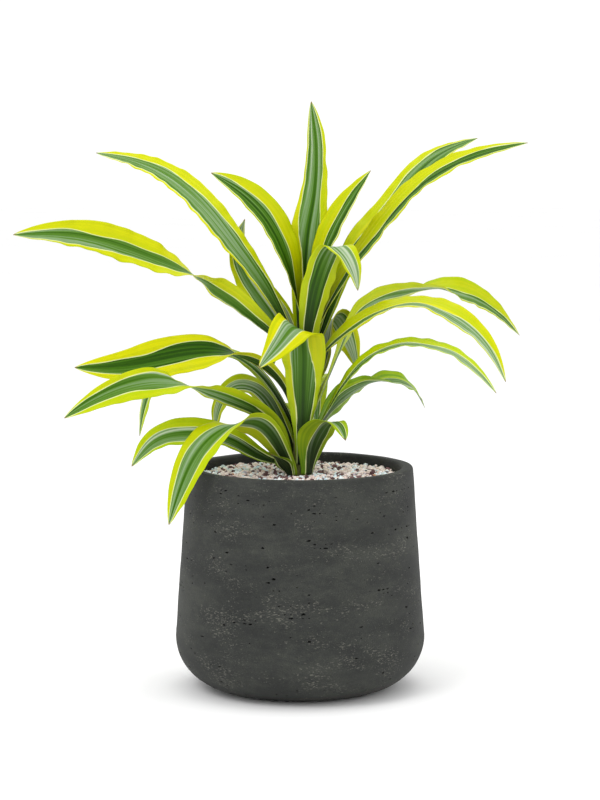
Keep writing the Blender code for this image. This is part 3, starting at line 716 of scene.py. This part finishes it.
def pebble():
    """Rounded grain of unit radius: a cube's 26 points of a 3 by 3 by 3 lattice, pushed out to a ball."""
    lattice = np.array([(x, y, z) for x in (-1, 0, 1) for y in (-1, 0, 1) for z in (-1, 0, 1)
                        if (x, y, z) != (0, 0, 0)], float)
    index = {tuple(p): i for i, p in enumerate(lattice.astype(int).tolist())}
    quads = []
    for axis in range(3):
        for side in (-1, 1):
            for s in (-1, 0):
                for t in (-1, 0):
                    cell = []
                    for u, w in ((s, t), (s + 1, t), (s + 1, t + 1), (s, t + 1))[::side]:
                        point = [0, 0, 0]
                        point[axis], point[(axis + 1) % 3], point[(axis + 2) % 3] = side, u, w
                        cell.append(index[tuple(point)])
                    quads.append(cell)
    return lattice / np.linalg.norm(lattice, axis=1)[:, None], np.array(quads)


def make_grains(stones):
    """Loose grains: two layers on a shaken hexagonal lattice.

    Each grain is the pebble, stretched, turned at random and roughened; grains of one stone are one piece.
    """
    rng = np.random.default_rng(GRAIN_SEED)
    ball, faces = pebble()
    outer = inner_radius(GRANULATE_TOP)
    centres = []
    for layer, depth in enumerate(GRAIN_DEPTHS):
        steps = np.arange(-LATTICE_REACH, LATTICE_REACH + 1)
        column, row = np.meshgrid(steps, steps)
        x = (column + 0.5 * (row % 2) + 0.5 * layer) * GRAIN_PITCH
        y = (row + 0.66 * layer) * GRAIN_PITCH * LATTICE_ROW
        x, y = x.ravel() + rng.normal(0, 0.5 * MM, x.size), y.ravel() + rng.normal(0, 0.5 * MM, y.size)
        z = GRANULATE_TOP - depth + rng.normal(0, 0.7 * MM, x.size)
        centres.append(np.stack([x, y, z], 1))
    centres = np.concatenate(centres)
    radius = np.clip(rng.normal(GRAIN_RADIUS, 0.45 * MM, len(centres)), 1.2 * MM, 2.9 * MM)
    away = np.hypot(centres[:, 0], centres[:, 1])
    keep = (away < outer - radius - 0.4 * MM) & (away > CANE_FOOT_RADIUS + radius)
    keep &= centres[:, 2] + radius < GRANULATE_TOP + 2.2 * MM
    centres, radius = centres[keep], radius[keep]
    kind = rng.choice(len(stones), len(centres), p=[share for _, share, _, _ in stones])
    for which, (name, _, rough, material) in enumerate(stones):
        mine = kind == which
        count = mine.sum()
        shape = ball[None] * rng.uniform(0.78, 1.18, (count, 1, 3))
        shape = shape * (1 + rng.uniform(-rough, rough, (count, len(ball), 1)))
        spin = np.linalg.qr(rng.normal(size=(count, 3, 3)))[0]
        spin *= np.sign(np.linalg.det(spin))[:, None, None]
        points = (shape @ spin) * radius[mine][:, None, None] + centres[mine][:, None]
        quads = faces[None] + np.arange(count)[:, None, None] * len(ball)
        mesh = mesh_of(name, points.reshape(-1, 3), quads)
        give(mesh, "grain", np.repeat(rng.random(count), len(ball)))
        place(name, mesh, material, "granulate")


def make_bed(material):
    """Bed of the granulate under the loose grains: a ring with sine lumps on top and a flat underside."""
    outer, bottom = inner_radius(GRANULATE_TOP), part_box("granulate")[0].z
    reach, turn = np.meshgrid(np.linspace(CANE_FOOT_RADIUS + GAP, outer - GAP, BED_ROWS),
                              np.arange(BED_COLUMNS) * TAU / BED_COLUMNS, indexing="ij")
    lumps = 0.5 * MM * (np.sin(reach * 1700 + 3 * np.sin(9 * turn)) * np.sin(reach * 1500 * turn))
    top = np.stack([reach * np.cos(turn), reach * np.sin(turn), GRANULATE_TOP - GRAIN_DEPTHS[1] + lumps], -1)
    low = top[[-1, 0]]
    low[..., 2] = bottom
    low[0, :, :2] *= (inner_radius(bottom) - GAP) / (outer - GAP)
    points = np.concatenate([top, low])
    number = np.arange(len(points) * BED_COLUMNS).reshape(-1, BED_COLUMNS)
    mesh = mesh_of("granulate_bed", points.reshape(-1, 3), skin(np.concatenate([number, number[:1]])))
    return place("granulate_bed", mesh, material, "granulate", "granulate")


def bed_material():
    """Granulate seen between the top grains: cells of 3.6 mm in the stones' colours, most of them darkened as
    painted shadow.
    """
    material, tree, shader = new_material("granulate_bed_painted_shadow")
    here = add(tree, "TexCoord").outputs["Object"]
    cells = add(tree, "TexVoronoi", {"Vector": here, "Scale": 1 / (3.6 * MM)})
    pick = add(tree, "SeparateXYZ", {0: cells.outputs["Color"]})
    # Painted shadow: the stones' colours, darkened for the gaps between the grains.
    colour = add(tree, "ValToRGB", {0: pick.outputs[0]}, ramp=(
        (0.0, "#5E4F4B"), (0.45, "#75675F"), (0.62, "#3A2526"), (0.85, "#6F7F86")))
    tree.links.new(colour.outputs[0], shader.inputs["Base Color"])
    bump = add(tree, "Bump", {"Height": cells.outputs["Distance"], "Strength": 0.8, "Distance": 1.2 * MM},
               invert=True)
    tree.links.new(bump.outputs[0], shader.inputs["Normal"])
    shader.inputs["Roughness"].default_value = 0.9
    return material


def make_cane(material):
    """Cane: a ring of points carried up a leaning line, stepped at each leaf scar."""
    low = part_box("cane")[0].z
    height = np.linspace(low - GRANULATE_TOP, CANE_HEIGHT, CANE_ROWS)[:, None]
    turn = (np.arange(CANE_COLUMNS) * TAU / CANE_COLUMNS)[None]
    scar = (height + 0.8 * MM * np.sin(turn + 90 * height)) / SCAR_PITCH % 1
    step = 0.35 * MM * (scar ** 3) - 0.25 * MM * np.exp(-((scar - 0.02) / 0.05) ** 2)
    radius = cane_radius(height) - CANE_INSET + step
    lean = CANE_LEAN * np.maximum(height, 0)
    points = np.stack([lean + radius * np.cos(turn), radius * np.sin(turn),
                       GRANULATE_TOP + height + 0 * turn], -1)
    number = np.arange(CANE_ROWS * CANE_COLUMNS).reshape(CANE_ROWS, CANE_COLUMNS)
    after = np.roll(number, -1, axis=1)
    quads = np.stack([number[:-1], after[:-1], after[1:], number[1:]], -1)
    ends = np.concatenate([fan(number.size, number[0, ::-1]), fan(number.size + 1, number[-1])])
    points = np.concatenate([points.reshape(-1, 3), points[[0, -1]].mean(1)])
    mesh = mesh_of("cane_stem", points, quads, ends)
    give(mesh, "scar", np.concatenate([scar.ravel(), [0, 0]]))
    return place("cane_stem", mesh, material, "cane", "cane")


def cane_material():
    """Young cane bark: still greenish and papery, darker in the ring that each shed leaf leaves."""
    material, tree, shader = new_material("cane_bark")
    here = add(tree, "TexCoord").outputs["Object"]
    noise = add(tree, "TexNoise", {"Vector": per_size(tree, here, (1.2, 1.2, 8)), "Scale": 1.0,
                                   "Detail": 3.0}).outputs["Fac"]
    colour = add(tree, "ValToRGB", {0: noise}, ramp=(
        (0.3, "#47501F"), (0.5, "#6A6E33"), (0.7, "#938F5A")))
    scar = add(tree, "Attribute", attribute_name="scar").outputs["Fac"]
    ring = add(tree, "MapRange", {0: scar, 1: 0.22, 2: 0.0, 3: 0.0, 4: 0.7})
    colour = add(tree, "Mix", {0: ring.outputs[0], 6: colour.outputs[0], 7: "#4A3A20"}, data_type="RGBA")
    tree.links.new(colour.outputs[2], shader.inputs["Base Color"])
    bump = add(tree, "Bump", {"Height": noise, "Strength": 0.5, "Distance": 0.3 * MM})
    tree.links.new(bump.outputs[0], shader.inputs["Normal"])
    shader.inputs["Roughness"].default_value = 0.7
    return material


def soil_material():
    """Damp peat potting soil: crumbs of 3 mm in dark browns."""
    material, tree, shader = new_material("peat_potting_soil")
    here = add(tree, "TexCoord").outputs["Object"]
    crumbs = add(tree, "TexNoise", {"Vector": here, "Scale": 1 / (3 * MM), "Detail": 5.0,
                                    "Roughness": 0.7}).outputs["Fac"]
    colour = add(tree, "ValToRGB", {0: crumbs}, ramp=(
        (0.3, "#1D1510"), (0.5, "#33251B"), (0.7, "#54402F")))
    tree.links.new(colour.outputs[0], shader.inputs["Base Color"])
    bump = add(tree, "Bump", {"Height": crumbs, "Strength": 0.8, "Distance": 1 * MM})
    tree.links.new(bump.outputs[0], shader.inputs["Normal"])
    shader.inputs["Roughness"].default_value = 0.93
    return material


def floor_material():
    """Seamless studio paper: matt white with the faintest unevenness."""
    material, tree, shader = new_material("studio_paper")
    here = add(tree, "TexCoord").outputs["Object"]
    noise = add(tree, "TexNoise", {"Vector": here, "Scale": 3.0, "Detail": 1.0}).outputs["Fac"]
    colour = add(tree, "ValToRGB", {0: noise}, ramp=((0.3, "#F3F3F3"), (0.7, "#F7F7F7")))
    tree.links.new(colour.outputs[0], shader.inputs["Base Color"])
    shader.inputs["Roughness"].default_value = 0.9
    return material


def set_stage():
    """Round white floor, an even white surround, and soft lamps from the front, above and both sides."""
    turn = np.arange(FLOOR_COLUMNS) * TAU / FLOOR_COLUMNS
    rings = np.array([0.3, 1.0, 3.0, 12.0])[:, None]
    points = np.stack([rings * np.cos(turn), rings * np.sin(turn), 0 * rings * turn], -1)
    number = np.arange(rings.size * FLOOR_COLUMNS).reshape(-1, FLOOR_COLUMNS)
    points = np.concatenate([points.reshape(-1, 3), [(0, 0, 0)]])
    mesh = mesh_of("floor", points, skin(number), fan(number.size, number[0]))
    mesh.materials.append(floor_material())
    floor = bpy.data.objects.new("floor", mesh)
    bpy.context.scene.collection.objects.link(floor)
    world = bpy.data.worlds.new("studio")
    world.use_nodes = True
    world.node_tree.nodes["Background"].inputs[0].default_value = (1, 1, 1, 1)
    world.node_tree.nodes["Background"].inputs[1].default_value = 1.1
    bpy.context.scene.world = world
    # name, place, size, power
    lamps = (("key", (-1.2, -1.4, 2.2), 1.2, 18), ("top", (0.2, 0.3, 2.4), 1.6, 14),
             ("fill", (1.8, -1.2, 1.0), 1.4, 4))
    for name, spot, size, power in lamps:
        light = bpy.data.lights.new(name, "AREA")
        light.shape, light.size, light.energy = "DISK", size, power
        lamp = bpy.data.objects.new(name, light)
        lamp.location = spot
        lamp.rotation_euler = aim(np.array([0, 0, LAMPS_AIM]) - np.array(spot))
        bpy.context.scene.collection.objects.link(lamp)


def aim(direction):
    """Euler angles that turn an object's -Z axis along a direction, with no roll."""
    x, y, z = direction / np.linalg.norm(direction)
    return (np.arccos(-z), 0, np.arctan2(y, x) - np.pi / 2)


def set_camera():
    """Camera at the plant's front, about level with its top and looking slightly down, with a long lens."""
    lens = bpy.data.cameras.new("camera")
    lens.lens, lens.sensor_width, lens.clip_end = FOCAL_LENGTH, 36, 50
    camera = bpy.data.objects.new("camera", lens)
    camera.location = (0, -CAMERA_AWAY, CAMERA_HEIGHT)
    camera.rotation_euler = (np.radians(90 - CAMERA_DOWN), 0, 0)
    bpy.context.scene.collection.objects.link(camera)
    bpy.context.scene.camera = camera


set_camera()
set_stage()
bpy.context.scene.view_settings.view_transform = "Standard"
leaf_blade = leaf_material()
for seed, leaf in enumerate(LEAVES):
    make_leaf(leaf, seed + 1, leaf_blade)
make_planter(cement_material())
# name, share of the grains, roughness of the shape, material
STONES = (
    ("granulate_pumice", 0.50, 0.05, mineral_material(
        "pumice_cream", ("#E3CCC4", "#F6E8E1", "#ECD9D3", "#FDF6F3"), 0.9, 0.8)),
    ("granulate_zeolite", 0.19, 0.16, mineral_material(
        "zeolite_pale_blue", ("#D3ECF6", "#F4FBFE", "#E2F2F9"), 0.75, 1.2)),
    ("granulate_lava", 0.26, 0.16, mineral_material(
        "lava_maroon", ("#4E3336", "#7E5C5C", "#3A2529"), 0.92, 0.6)),
    ("granulate_quartzite", 0.05, 0.10, mineral_material(
        "quartzite_lilac", ("#CFCAD3", "#BDB5C0", "#C98F5E"), 0.6, 1.0)),
)
make_grains(STONES)
make_bed(bed_material())
make_cane(cane_material())
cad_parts["potting_soil"].material_slots[0].material = soil_material()
